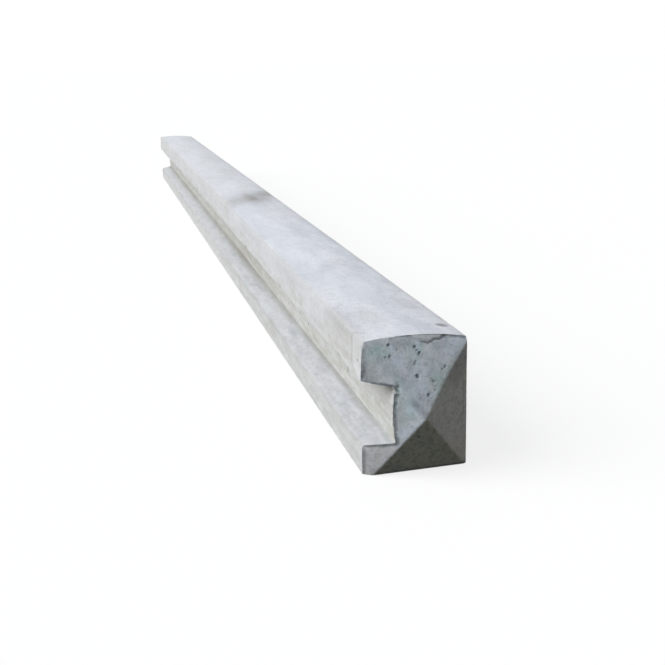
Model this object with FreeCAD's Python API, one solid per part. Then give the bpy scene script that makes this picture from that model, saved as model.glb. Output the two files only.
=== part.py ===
"""Precast concrete fence post, slotted on one side, lying on its moulded face.

One casting: a long section with a tapered panel slot, trowelled by hand on its upper face and weathered to a
four-sided point at its top end. Millimetres, +Z up. The origin is under the middle of the post, on the bed that
it lies on. The slot is on the -X side, the weathered top end is at -Y and the foot is at +Y.
"""

import FreeCAD, Part
import os

Vector = FreeCAD.Vector

# Overall sizes
POST_LENGTH = 2400.0  # foot to the tip where the facets of the weathered top meet
POST_WIDTH = 100.0  # slotted side to plain side
PLAIN_SIDE_DEPTH = 124.0  # moulded face to trowelled face, at the plain side
SLOT_SIDE_DEPTH = 127.0  # the same at the slotted side, where the trowel left more
CROWN_RISE = 3.6  # the trowelled face's middle above the straight line between its edges
TROWELLED_LIP_LEAN = 1.8  # the slotted side's upper edge stands back this far from its lower edge

# Panel slot, tapered so that its former pulls out of the mould
SLOT_DEPTH = 27.0
SLOT_MOUTH = 61.5
MOULDED_LIP = 28.5  # lip between the slot's mouth and the moulded face
MOULDED_LIP_TAPER = 6.0  # how much thicker that lip is at the slot's floor
TROWELLED_LIP_TAPER = 3.5  # the same for the lip on the trowelled side
SLOT_FLOOR_BOW = 1.8  # the floor's middle stands this far towards the mouth

# Weathered top: four facets that run up to one tip
TIP_FROM_SLOT_SIDE = 51.0
TIP_ABOVE_BED = 60.5
WEATHERING_RISE = 28.0  # tip beyond the shoulder of the moulded facet
PLAIN_FACET_SETBACK = 1.3  # how much further back the other facets' shoulders are
SLOT_FACET_SETBACK = 6.1
TROWELLED_FACET_SETBACK = 4.3

# Edge rounding along the post
MOULD_ARRIS = 0.8  # the two edges on the bed
SLOT_SIDE_ARRIS = 4.0  # the trowelled face's edge over the slot, rubbed round with the trowel
PLAIN_SIDE_ARRIS = 1.0  # its other edge, struck off along the mould
ROOF_ARRIS = 1.2  # the slot's mouth on the trowelled side
SILL_ARRIS = 2.5  # the slot's mouth on the moulded side
ROOF_ROOT = 1.5  # inner corners of the slot
SILL_ROOT = 2.0
RIDGE_ROUND = 1.5  # the ridges between the facets of the weathered top

# Where the faces lie
slot_side_x = -POST_WIDTH / 2
slot_side_top_x = slot_side_x + TROWELLED_LIP_LEAN
plain_side_x = POST_WIDTH / 2
tip_y = -POST_LENGTH / 2
shoulder_y = tip_y + WEATHERING_RISE
slot_floor_x = slot_side_x + SLOT_DEPTH
mouth_low_z = MOULDED_LIP
mouth_high_z = MOULDED_LIP + SLOT_MOUTH
floor_low_z = mouth_low_z + MOULDED_LIP_TAPER
floor_high_z = mouth_high_z - TROWELLED_LIP_TAPER
tip_x = slot_side_x + TIP_FROM_SLOT_SIDE

# How far a cutting tool reaches past the casting
OVERCUT = max(POST_WIDTH, PLAIN_SIDE_DEPTH, SLOT_SIDE_DEPTH)


def section_face():
    """The post's cross-section, at its tip end."""

    def at(x, z):
        return Vector(x, tip_y, z)

    bed_plain = at(plain_side_x, 0)
    top_plain = at(plain_side_x, PLAIN_SIDE_DEPTH)
    top_slot = at(slot_side_top_x, SLOT_SIDE_DEPTH)
    mouth_high = at(slot_side_x, mouth_high_z)
    floor_high = at(slot_floor_x, floor_high_z)
    floor_low = at(slot_floor_x, floor_low_z)
    mouth_low = at(slot_side_x, mouth_low_z)
    bed_slot = at(slot_side_x, 0)

    crown = (top_plain + top_slot) / 2 + Vector(0, 0, CROWN_RISE)
    floor_middle = (floor_high + floor_low) / 2 - Vector(SLOT_FLOOR_BOW, 0, 0)
    outline = [
        Part.LineSegment(bed_slot, bed_plain),
        Part.LineSegment(bed_plain, top_plain),
        Part.Arc(top_plain, crown, top_slot),
        Part.LineSegment(top_slot, mouth_high),
        Part.LineSegment(mouth_high, floor_high),
        Part.Arc(floor_high, floor_middle, floor_low),
        Part.LineSegment(floor_low, mouth_low),
        Part.LineSegment(mouth_low, bed_slot),
    ]
    return Part.Face(Part.Wire([curve.toShape() for curve in outline]))


def long_edge(solid, x, z):
    """The edge that runs the length of the post at this place in its section."""
    tolerance = 1e-6
    for edge in solid.Edges:
        if all(abs(v.X - x) < tolerance and abs(v.Z - z) < tolerance for v in edge.Vertexes):
            return edge
    raise ValueError(f"no long edge at x {x}, z {z}")


def round_long_edges(solid):
    """Rounds every edge along the casting, each by the radius of its kind."""
    kinds = [
        (MOULD_ARRIS, [(slot_side_x, 0), (plain_side_x, 0)]),
        (SLOT_SIDE_ARRIS, [(slot_side_top_x, SLOT_SIDE_DEPTH)]),
        (PLAIN_SIDE_ARRIS, [(plain_side_x, PLAIN_SIDE_DEPTH)]),
        (ROOF_ARRIS, [(slot_side_x, mouth_high_z)]),
        (SILL_ARRIS, [(slot_side_x, mouth_low_z)]),
        (ROOF_ROOT, [(slot_floor_x, floor_high_z)]),
        (SILL_ROOT, [(slot_floor_x, floor_low_z)]),
    ]
    for radius, places in kinds:
        solid = solid.makeFillet(radius, [long_edge(solid, x, z) for x, z in places])
    return solid


def facet_wedge(side, tip, facet_shoulder_y, place, sweep):
    """What a weathering facet takes away: everything in front of the line from its shoulder to the tip.

    side and tip are places across the post, place turns one and a y into a point, and sweep runs along the facet.
    """
    outwards = OVERCUT if side > tip else -OVERCUT
    rise_per_step = (facet_shoulder_y - tip_y) / (side - tip)

    def on_line(across):
        return place(across, tip_y + rise_per_step * (across - tip))

    beyond_tip = tip - outwards
    front_y = tip_y - abs(rise_per_step) * OVERCUT
    corners = [on_line(side + outwards), on_line(beyond_tip), place(side + outwards, front_y)]
    return Part.Face(Part.makePolygon(corners + corners[:1])).extrude(sweep)


def weather_top(solid):
    """Cuts the four facets of the weathered top."""
    across_length = POST_WIDTH + 2 * OVERCUT
    upright_length = 3 * OVERCUT

    def in_plan(x, y):
        return Vector(x, y, -OVERCUT)

    def in_elevation(z, y):
        return Vector(slot_side_x - OVERCUT, y, z)

    upright = Vector(0, 0, upright_length)
    across = Vector(across_length, 0, 0)
    facets = [
        facet_wedge(slot_side_x, tip_x, shoulder_y + SLOT_FACET_SETBACK, in_plan, upright),
        facet_wedge(plain_side_x, tip_x, shoulder_y + PLAIN_FACET_SETBACK, in_plan, upright),
        facet_wedge(PLAIN_SIDE_DEPTH, TIP_ABOVE_BED, shoulder_y + TROWELLED_FACET_SETBACK, in_elevation, across),
        facet_wedge(0, TIP_ABOVE_BED, shoulder_y, in_elevation, across),
    ]
    for facet in facets:
        solid = solid.cut(facet)
    return solid


def round_ridges(solid):
    """Rounds the ridges that run up to the tip, as a mould leaves them."""
    tip = Vector(tip_x, tip_y, TIP_ABOVE_BED)
    tolerance = 1e-4
    ridges = [e for e in solid.Edges if any(v.Point.distanceToPoint(tip) < tolerance for v in e.Vertexes)]
    return solid.makeFillet(RIDGE_ROUND, ridges)


def slotted_end_post():
    """The whole casting as one solid."""
    blank = section_face().extrude(Vector(0, POST_LENGTH, 0))
    post = round_ridges(weather_top(round_long_edges(blank)))
    return post.Solids[0]


os.makedirs("parts", exist_ok=True)
post = slotted_end_post()
post.exportStep("parts/slotted_end_post.step")
box = post.BoundBox
print("valid", post.isValid(), "faces", len(post.Faces), "volume_mm3", round(post.Volume))
print("x", box.XMin, box.XMax, "y", box.YMin, box.YMax, "z", box.ZMin, box.ZMax)
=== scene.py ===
"""The looks of a precast concrete fence post that lies on its moulded face under a soft studio light.

Places and sizes on the post are millimetres in the part's own frame, and MM turns them into metres.
"""

import math

import bpy
import numpy as np
from mathutils import Euler, Matrix, Vector, geometry


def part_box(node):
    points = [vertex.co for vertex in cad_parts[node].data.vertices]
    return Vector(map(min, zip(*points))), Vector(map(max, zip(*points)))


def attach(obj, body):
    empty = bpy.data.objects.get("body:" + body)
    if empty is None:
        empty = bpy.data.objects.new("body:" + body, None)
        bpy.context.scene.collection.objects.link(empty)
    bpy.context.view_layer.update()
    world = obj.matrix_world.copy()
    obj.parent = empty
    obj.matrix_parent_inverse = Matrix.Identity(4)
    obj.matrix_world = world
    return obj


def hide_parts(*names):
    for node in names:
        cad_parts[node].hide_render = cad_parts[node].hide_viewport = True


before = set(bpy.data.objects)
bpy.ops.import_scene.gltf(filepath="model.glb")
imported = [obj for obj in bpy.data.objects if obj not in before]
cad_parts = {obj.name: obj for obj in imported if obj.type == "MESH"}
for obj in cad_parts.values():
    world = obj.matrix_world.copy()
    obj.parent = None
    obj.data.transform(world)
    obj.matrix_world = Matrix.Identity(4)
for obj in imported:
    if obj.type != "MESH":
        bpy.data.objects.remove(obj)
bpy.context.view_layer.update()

MM = 0.001
NODE = "slotted_end_post"
box_low, box_high = (np.array(corner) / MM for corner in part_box(NODE))
HALF_WIDTH = box_high[0]
FOOT_Y = box_high[1]
TIP_Y = -FOOT_Y

# Section of the casting: a corner where each run starts, in order round it, as seen from the tip end
PLAIN_SIDE_DEPTH = 124.0
SLOT_SIDE_DEPTH = 127.0
LIP_LEAN = 1.8
SLOT_DEPTH = 27.0
MOUTH_LOW, MOUTH_HIGH = 28.5, 90.0
FLOOR_LOW, FLOOR_HIGH = 34.5, 86.5
RUNS = ("bed", "plain_side", "trowelled", "upper_lip", "slot_roof", "slot_floor", "slot_sill", "lower_lip")
SLOT_RUNS = ("slot_roof", "slot_floor", "slot_sill")
CORNERS = np.array([
    (-HALF_WIDTH, 0.0),
    (HALF_WIDTH, 0.0),
    (HALF_WIDTH, PLAIN_SIDE_DEPTH),
    (-HALF_WIDTH + LIP_LEAN, SLOT_SIDE_DEPTH),
    (-HALF_WIDTH, MOUTH_HIGH),
    (-HALF_WIDTH + SLOT_DEPTH, FLOOR_HIGH),
    (-HALF_WIDTH + SLOT_DEPTH, FLOOR_LOW),
    (-HALF_WIDTH, MOUTH_LOW),
])
CORNER_ROUNDS = (0.8, 0.8, 1.0, 4.0, 1.2, 1.5, 2.0, 2.5)
BOWS = {"trowelled": 3.6, "slot_floor": 1.8}

# Weathered top: all facets pass through the tip, and each one's shoulder is this far behind it at its side
TIP_X, TIP_Z = 1.0, 60.5
SHOULDERS = {"slot": 34.1, "plain": 29.3, "trowelled": 32.3, "moulded": 28.0}
RIDGE_SOFTNESS = 0.35
FACET_BLEND = 0.3  # how softly the facets' tones part at the ridges
RIDGE_REACH = 110.0  # past the outline from the tip
TROWELLED_TO_PLAIN = 1  # which of its ridges is the one between these two facets
# The plain facet is a little hollow beside that ridge, which bends it: x, z, radius and depth of the hollow
FACET_DISH = (25.5, 92.0, 26.0, 1.3)

# Wear of the long edges: how much each corner of the section has lost; the slot's inner corners have none
EDGE_WEAR = np.array([0.05, 0.15, 0.1, 0.5, 0.5, 0.0, 0.0, 0.5])
EDGE_WEAR_REACH = 2.2

# Grey scuff on the trowelled face: its place across and along the post, its soft rim and its strength
SCUFF = (38.3, -1133.5)
SCUFF_RIM = (3.5, 7.5)
SCUFF_STRENGTH = 0.8

# Broad clouds that the trowel left: x, y, half width, half length, and how pale, or how dull if below 0
TROWEL_CLOUDS = (
    (-20.0, -1088.0, 17.0, 28.0, -0.4), (32.0, -1054.0, 12.0, 22.0, -0.55), (7.0, -978.0, 15.0, 48.0, 0.9),
    (10.0, -848.0, 12.0, 25.0, -0.3), (-24.0, -782.0, 15.0, 55.0, 0.8), (0.0, -695.0, 14.0, 32.0, 0.5),
    (36.0, -572.0, 10.0, 45.0, 0.9), (-2.0, -500.0, 20.0, 28.0, -0.2), (2.0, -400.0, 18.0, 25.0, 0.5),
    (-5.0, -100.0, 20.0, 45.0, 0.6), (40.0, -120.0, 9.0, 50.0, -0.4),
)

# Knocks out of the upper edge of the slot's mouth: place along the post, half length and depth
MOUTH_KNOCKS = ((-1064.0, 3.5, 0.4), (-790.0, 7.0, 1.0), (-520.0, 8.0, 1.2))

# Air holes in the slot's floor: place along the post, height and radius
FLOOR_HOLES = (
    (-1024.5, 55.3, 2.1), (-1023.5, 52.0, 2.1), (-923.0, 50.0, 1.6), (-923.0, 53.6, 1.2), (-865.0, 40.4, 1.8),
    (-859.0, 41.5, 1.9), (-834.0, 52.0, 2.3),
)

# Air holes that show on the weathered top: x, z, radius and how dark each is
END_HOLES = (
    (-23.7, 122.2, 1.8, 0.75), (-0.1, 118.7, 1.9, 0.7), (1.5, 116.1, 1.4, 0.65), (3.2, 113.3, 1.9, 0.75),
    (-24.3, 112.9, 1.6, 0.6), (-28.3, 112.6, 1.3, 0.5), (-16.8, 118.3, 1.5, 0.3), (-2.2, 105.2, 1.6, 0.5),
    (-0.7, 107.0, 1.2, 0.45), (-1.5, 95.0, 2.1, 0.8), (25.9, 100.3, 1.9, 0.55), (22.4, 98.6, 1.2, 0.35),
    (12.4, 89.4, 1.9, 0.45), (13.2, 82.4, 1.3, 0.3), (6.2, 78.9, 1.9, 0.65), (8.4, 76.9, 1.0, 0.4),
    (-3.1, 40.7, 2.0, 0.55), (-25.3, 17.7, 1.1, 0.4), (34.5, 117.0, 1.2, 0.2), (-35.5, 119.5, 1.0, 0.25),
)

# Crack round the flake under the trowelled edge, as x and z of its turns
FLAKE_CRACK = np.array([
    (-3.0, 127.9), (0.5, 125.6), (4.5, 123.6), (8.3, 122.1), (13.3, 121.0), (16.5, 121.9),
    (19.6, 123.5), (24.6, 123.0), (28.0, 124.6), (30.6, 126.3),
])
CRACK_DEPTH = 0.5
FLAKE_DROP = 0.2

# Chips out of the outline of the weathered top: x, z and radius; all but the last are darkened with dirt and
# painted shade
DARKENED_CHIPS = (
    (-20.9, 88.4, 2.0), (-21.3, 84.6, 2.0), (-21.0, 80.2, 2.2), (-22.6, 72.6, 1.9), (-23.2, 70.2, 1.2),
    (-23.8, 65.5, 1.1), (-23.8, 58.3, 1.7), (-24.2, 56.0, 1.0), (-23.8, 52.0, 1.3), (-23.0, 46.4, 1.9),
    (-26.0, 87.6, 1.9), (-28.8, 88.0, 1.5), (-48.3, 94.0, 2.2), (-47.8, 99.0, 1.8),
)
END_CHIPS = DARKENED_CHIPS + ((-50.0, 28.5, 4.5),)

# Dark, crumbled lines on the weathered top, dirt and painted shade along broken edges: the turns of each as x
# and z, its half width and how dark it is
CRUMBLED_LINES = (
    (((-49.6, 90.4), (-36.0, 89.0), (-22.5, 87.3)), 1.0, 0.7),
    (((-34.0, 88.8), (-22.5, 87.3)), 1.8, 0.85),
    (((-46.0, 28.6), (-38.0, 29.9), (-31.0, 31.3)), 1.7, 0.7),
    (((-31.0, 31.3), (-22.3, 33.6), (-22.0, 39.0)), 2.0, 0.85),
    (((-22.0, 39.0), (-22.6, 46.0)), 1.2, 0.75),
    (((-22.6, 46.0), (-23.4, 62.0), (-22.8, 74.0), (-22.2, 80.0)), 1.6, 0.8),
    (((-47.0, 104.0), (-46.6, 98.5), (-47.9, 94.5), (-48.7, 91.0)), 1.7, 0.8),
    (((28.5, 126.0), (38.0, 124.9), (48.5, 122.8)), 1.1, 0.7),
    (((-16.0, 128.2), (-3.0, 128.2)), 1.0, 0.55),
    (((28.0, 125.2), (31.5, 125.8)), 1.7, 0.9),
    # Along the bottom edge: dirt and a painted contact shadow
    (((-38.0, 1.0), (-12.0, 1.0), (20.0, 0.8), (49.0, 1.0)), 1.6, 0.7),
    (((44.0, 1.4), (49.5, 1.8)), 1.6, 0.6),
)
# Broader dusky strips by the outline, in the same form
DUSKY_STRIPS = (
    (((-48.6, 25.0), (-48.9, 1.0)), 1.9, 0.6),
    (((-47.4, 120.5), (-48.2, 108.0)), 1.5, 0.45),
    (((-46.6, 107.0), (-47.4, 93.0)), 3.6, 0.58),
    (((-43.0, 107.0), (-42.0, 97.0)), 6.0, 0.3),
    # Along the slot floor's broken edge: dirt and painted shade
    (((-20.5, 78.0), (-21.0, 56.0)), 4.2, 0.3),
    (((-20.5, 56.0), (-20.0, 46.0)), 3.2, 0.24),
    (((-7.5, 73.0), (0.5, 63.5)), 3.4, 0.36),
    (((0.0, 77.0), (5.0, 73.0)), 4.0, 0.2),
    (((-18.0, 124.5), (-10.0, 124.0)), 4.0, 0.22),
    (((20.0, 119.0), (29.0, 119.5)), 4.0, 0.22),
    (((-1.5, 121.0), (4.0, 112.0)), 2.4, 0.2),
    (((-25.0, 98.0), (-7.0, 93.0)), 5.0, 0.1),
    (((36.0, 90.0), (46.0, 106.0)), 9.0, 0.32),
    # Low on the bottom facet by the lip: dirt and painted contact shade
    (((-37.0, 1.0), (-20.0, 7.0)), 6.0, 0.25),
)

# Pale and blue-green patches of the weathered top: x, z and radius
PALE_PATCHES = (
    (0.0, 87.0, 10.0), (40.0, 119.5, 8.5), (-17.0, 108.5, 6.0), (-17.5, 44.0, 4.0), (2.0, 119.5, 5.0),
    (-22.0, 119.0, 4.0), (32.0, 112.0, 6.0), (-10.0, 68.0, 5.0),
)
SLAG_PATCHES = (
    (-38.0, 118.0, 7.5), (-28.0, 117.0, 8.0), (1.0, 113.0, 11.0), (-20.0, 94.0, 7.0), (20.0, 88.0, 10.0),
    (-14.0, 68.0, 10.0), (-17.0, 80.0, 7.0),
)


def smooth_step(value, start, end):
    """0 before start, 1 after end, and a soft rise between them."""
    share = np.clip((value - start) / (end - start), 0.0, 1.0)
    return share * share * (3.0 - 2.0 * share)


def smooth_fall(value, start, end):
    """1 before start, 0 after end, and a soft fall between them."""
    return 1.0 - smooth_step(value, start, end)


def soft_spot(value, reach):
    """1 where the value is 0, and a round fall to nothing on both sides of it."""
    return np.exp(-((value / reach) ** 2))


def lattice_noise(places, size, seed):
    """Smooth noise from -1 to 1 at each place, with lumps of about this size."""
    scaled = np.asarray(places, float) / size
    cell = np.floor(scaled).astype(np.int64)
    share = scaled - cell
    share = share * share * (3.0 - 2.0 * share)
    total = np.zeros(len(scaled))
    for corner in np.ndindex(*(2,) * scaled.shape[1]):
        weight = np.ones(len(scaled))
        mixed = np.full(len(scaled), seed * 1274126177, np.int64)
        for axis, step in enumerate(corner):
            weight *= share[:, axis] if step else 1.0 - share[:, axis]
            mixed ^= (cell[:, axis] + step) * (374761393, 668265263, 2246822519)[axis]
            mixed = (mixed ^ (mixed >> 13)) * 1103515245 & 0x7FFFFFFF
        total += weight * ((mixed >> 8 & 0xFFFF) / 32767.5 - 1.0)
    return total


def lumps(places, size, seed):
    """Smooth noise from 0 to 1, with lumps of about this size."""
    return 0.5 + 0.5 * lattice_noise(places, size, seed)


def line_distance(places, line):
    """Distance of each place from a bent line."""
    nearest = np.full(len(places), np.inf)
    line = np.asarray(line, float)
    for start, end in zip(line[:-1], line[1:]):
        chord = end - start
        share = np.clip((places - start) @ chord / (chord @ chord), 0, 1)
        nearest = np.minimum(nearest, np.linalg.norm(places - start - share[:, None] * chord, axis=1))
    return nearest


def along_line(line, spacing):
    """Points along a bent line, about this far apart."""
    line = np.asarray(line, float)
    points = []
    for start, end in zip(line[:-1], line[1:]):
        count = max(2, int(np.linalg.norm(end - start) / spacing) + 1)
        points.append(start + np.linspace(0, 1, count)[:-1, None] * (end - start))
    return np.concatenate(points)


def drawn_lines(places, lines, wander):
    """How dark each place is under a set of soft lines, each given as turns, half width and darkness."""
    shade = np.zeros(len(places))
    for line, half_width, darkness in lines:
        gap = line_distance(places, line) + wander
        shade = np.maximum(shade, darkness * smooth_fall(gap, 0.4 * half_width, 1.7 * half_width))
    return shade


def hole_rings(centre, radius):
    """Points that follow a hole's bowl, from its middle to just past its rim."""
    rings = [np.array([centre])]
    for share, count in ((0.35, 6), (0.7, 10), (1.0, 14), (1.25, 16)):
        angles = np.arange(count) * math.tau / count + share
        rings.append(np.array(centre) + radius * share * np.stack([np.cos(angles), np.sin(angles)], axis=1))
    return np.concatenate(rings)


def bowls(places, holes):
    """How dark and how deep each place is in round-bottomed holes with uneven rims."""
    share = np.zeros(len(places))
    depth = np.zeros(len(places))
    for x, z, radius, darkness in holes:
        near = np.flatnonzero(np.abs(places - [x, z]).max(axis=1) < 1.5 * radius)
        offset = np.linalg.norm(places[near] - [x, z], axis=1) / radius
        uneven = 0.3 * lattice_noise(places[near], 1.2 * radius, 21)
        bowl = np.clip(1.0 - np.clip(offset + uneven, 0, None) ** 2, 0.0, 1.0)
        share[near] = np.maximum(share[near], smooth_step(bowl, 0.0, 0.55) * darkness)
        depth[near] = np.maximum(depth[near], bowl * radius * (0.25 + 0.75 * darkness))
    return share, depth


def away_from(places, holes):
    """Which places lie clear of every hole."""
    clear = np.ones(len(places), bool)
    for x, z, radius, _ in holes:
        clear &= ((places - [x, z]) ** 2).sum(axis=1) > (1.35 * radius) ** 2
    return clear


def triangles(points, loop=()):
    """Joins points in a plane into triangles, inside the closed loop if one is given."""
    edges = [(loop[i], loop[(i + 1) % len(loop)]) for i in range(len(loop))]
    inside_loop = 1 if edges else 0
    result = geometry.delaunay_2d_cdt([Vector(p) for p in points], edges, [], inside_loop, 1e-7)
    back = [origins[0] for origins in result[3]]
    return np.array([[back[i] for i in face] for face in result[2]])


def facet_slopes():
    """How fast each facet of the weathered top falls back from the tip, per millimetre of x and of z."""
    return {
        "slot": np.array([-SHOULDERS["slot"] / (TIP_X + HALF_WIDTH), 0.0]),
        "trowelled": np.array([0.0, SHOULDERS["trowelled"] / (PLAIN_SIDE_DEPTH - TIP_Z)]),
        "plain": np.array([SHOULDERS["plain"] / (HALF_WIDTH - TIP_X), 0.0]),
        "moulded": np.array([0.0, -SHOULDERS["moulded"] / TIP_Z]),
    }


def facet_dish(name, places):
    """How far a facet lies behind its own plane."""
    x, z, radius, depth = FACET_DISH
    spread = ((places - [x, z]) ** 2).sum(axis=1) / radius**2
    return depth * np.exp(-spread) if name == "plain" else np.zeros(len(places))


def facet_depths(places):
    """How far behind the tip each facet lies, at places of the section."""
    offset = places - np.array([TIP_X, TIP_Z])
    return {name: offset @ slope + facet_dish(name, places) for name, slope in facet_slopes().items()}


def end_surface(places):
    """Where along the post the weathered top lies, at places of the section, its ridges just softened."""
    total = sum(np.exp(depth / RIDGE_SOFTNESS) for depth in facet_depths(places).values())
    return TIP_Y + RIDGE_SOFTNESS * np.log(total)


def ridge_lines():
    """The four ridges of the weathered top, each from the tip to past the outline."""
    slopes = facet_slopes()
    names = list(slopes)
    tip = np.array([TIP_X, TIP_Z])
    lines = []
    for one, other in zip(names, names[1:] + names[:1]):
        across = slopes[one] - slopes[other]
        ridge = np.array([-across[1], across[0]]) / np.linalg.norm(across)
        if slopes[one] @ ridge < 0:
            ridge = -ridge
        line = tip + np.linspace(0.0, RIDGE_REACH, 12)[:, None] * ridge
        bend = facet_dish(other, line) - facet_dish(one, line)
        lines.append(line + bend[:, None] * across / (across @ across))
    return lines


class Section:
    """The casting's outline, sampled round its perimeter from the start of the bed."""

    ROUND_STEPS = 6
    SPACING = 1.25
    PLAIN_SPACING = 2.5
    PLAIN_RUNS = ("bed", "plain_side")

    def __init__(self):
        points, runs, rounded = [], [], []
        count = len(CORNERS)
        along = np.roll(CORNERS, -1, axis=0) - CORNERS
        along /= np.linalg.norm(along, axis=1)[:, None]
        turns = [math.acos(np.clip(along[i - 1] @ along[i], -1, 1)) for i in range(count)]
        reaches = [CORNER_ROUNDS[i] * math.tan(turns[i] / 2) for i in range(count)]
        for i in range(count):
            here, following = CORNERS[i], (i + 1) % count
            enter = here - along[i - 1] * reaches[i]
            leave = here + along[i] * reaches[i]
            for share in np.linspace(0, 1, self.ROUND_STEPS + 1):
                points.append((1 - share) ** 2 * enter + 2 * share * (1 - share) * here + share**2 * leave)
                runs.append((i - 1) % count if share < 0.5 else i)
                rounded.append(True)
            end = CORNERS[following] - along[i] * reaches[following]
            spacing = self.PLAIN_SPACING if RUNS[i] in self.PLAIN_RUNS else self.SPACING
            steps = round(np.linalg.norm(end - leave) / spacing / 2) * 2
            for share in np.linspace(0, 1, steps + 1)[1:-1]:
                points.append(leave + (end - leave) * share)
                runs.append(i)
                rounded.append(False)
        self.point = np.array(points)
        self.run = np.array(runs)
        self.rounded = np.array(rounded)
        for name, bow in BOWS.items():
            self._bow(RUNS.index(name), bow)
        self.size = len(self.point)
        step = np.linalg.norm(np.roll(self.point, -1, axis=0) - self.point, axis=1)
        self.around = np.concatenate([[0.0], np.cumsum(step)[:-1]])
        self.perimeter = step.sum()
        tangent = np.roll(self.point, -1, axis=0) - np.roll(self.point, 1, axis=0)
        tangent /= np.linalg.norm(tangent, axis=1)[:, None]
        self.normal = np.stack([tangent[:, 1], -tangent[:, 0]], axis=1)
        middles = [np.argmin(np.linalg.norm(self.point - corner, axis=1)) for corner in CORNERS]
        self.corner_around = self.around[middles]

    def _bow(self, run, bow):
        """Lifts one run into a shallow curve between its two corners."""
        start, end = CORNERS[run], CORNERS[(run + 1) % len(CORNERS)]
        chord = end - start
        outward = np.array([chord[1], -chord[0]]) / np.linalg.norm(chord)
        share = np.clip((self.point - start) @ chord / (chord @ chord), 0, 1)
        lift = np.where(self.run == run, 4 * bow * share * (1 - share), 0.0)
        self.point = self.point + lift[:, None] * outward

    def at(self, around, values):
        """Values of the samples, blended between them, at places round the perimeter."""
        places = np.append(self.around, self.perimeter)
        wrapped = np.concatenate([values, values[:1]])
        around = np.mod(around, self.perimeter)
        return np.stack([np.interp(around, places, column) for column in wrapped.T], axis=1)

    def run_span(self, name):
        """Where a run starts and ends round the perimeter."""
        run = RUNS.index(name)
        start = self.corner_around[run]
        end = self.corner_around[(run + 1) % len(RUNS)]
        return start, end if end > start else self.perimeter

    def share_of(self, around, names, blend):
        """How far a place belongs to runs: 1 well inside one, and fading over the blend at its corners."""
        share = np.zeros_like(around)
        for name in names:
            start, end = self.run_span(name)
            inside = np.minimum(around - start, end - around)
            share = share + smooth_step(inside, -blend, blend)
        return np.clip(share, 0, 1)

    def gap(self, places):
        """Distance of each place from the outline, and which sample is nearest."""
        gaps, nearest = [], []
        for chunk in np.array_split(places, max(1, len(places) // 4000)):
            distance = np.linalg.norm(chunk[:, None, :] - self.point[None, :, :], axis=2)
            nearest.append(distance.argmin(axis=1))
            gaps.append(distance.min(axis=1))
        return np.concatenate(gaps), np.concatenate(nearest)

    def holds(self, places):
        """Which places lie in the section's concrete, by counting the outline's crossings."""
        x, z = places.T
        inside = np.zeros(len(places), bool)
        for (x0, z0), (x1, z1) in zip(self.point, np.roll(self.point, -1, axis=0)):
            if z0 != z1:
                inside ^= ((z0 > z) != (z1 > z)) & (x < x0 + (z - z0) * (x1 - x0) / (z1 - z0))
        return inside

    def clear(self, places, margin):
        """The places that lie in the concrete, at least this far from the outline."""
        places = places[self.holds(places)]
        return places[self.gap(places)[0] > margin]


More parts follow.
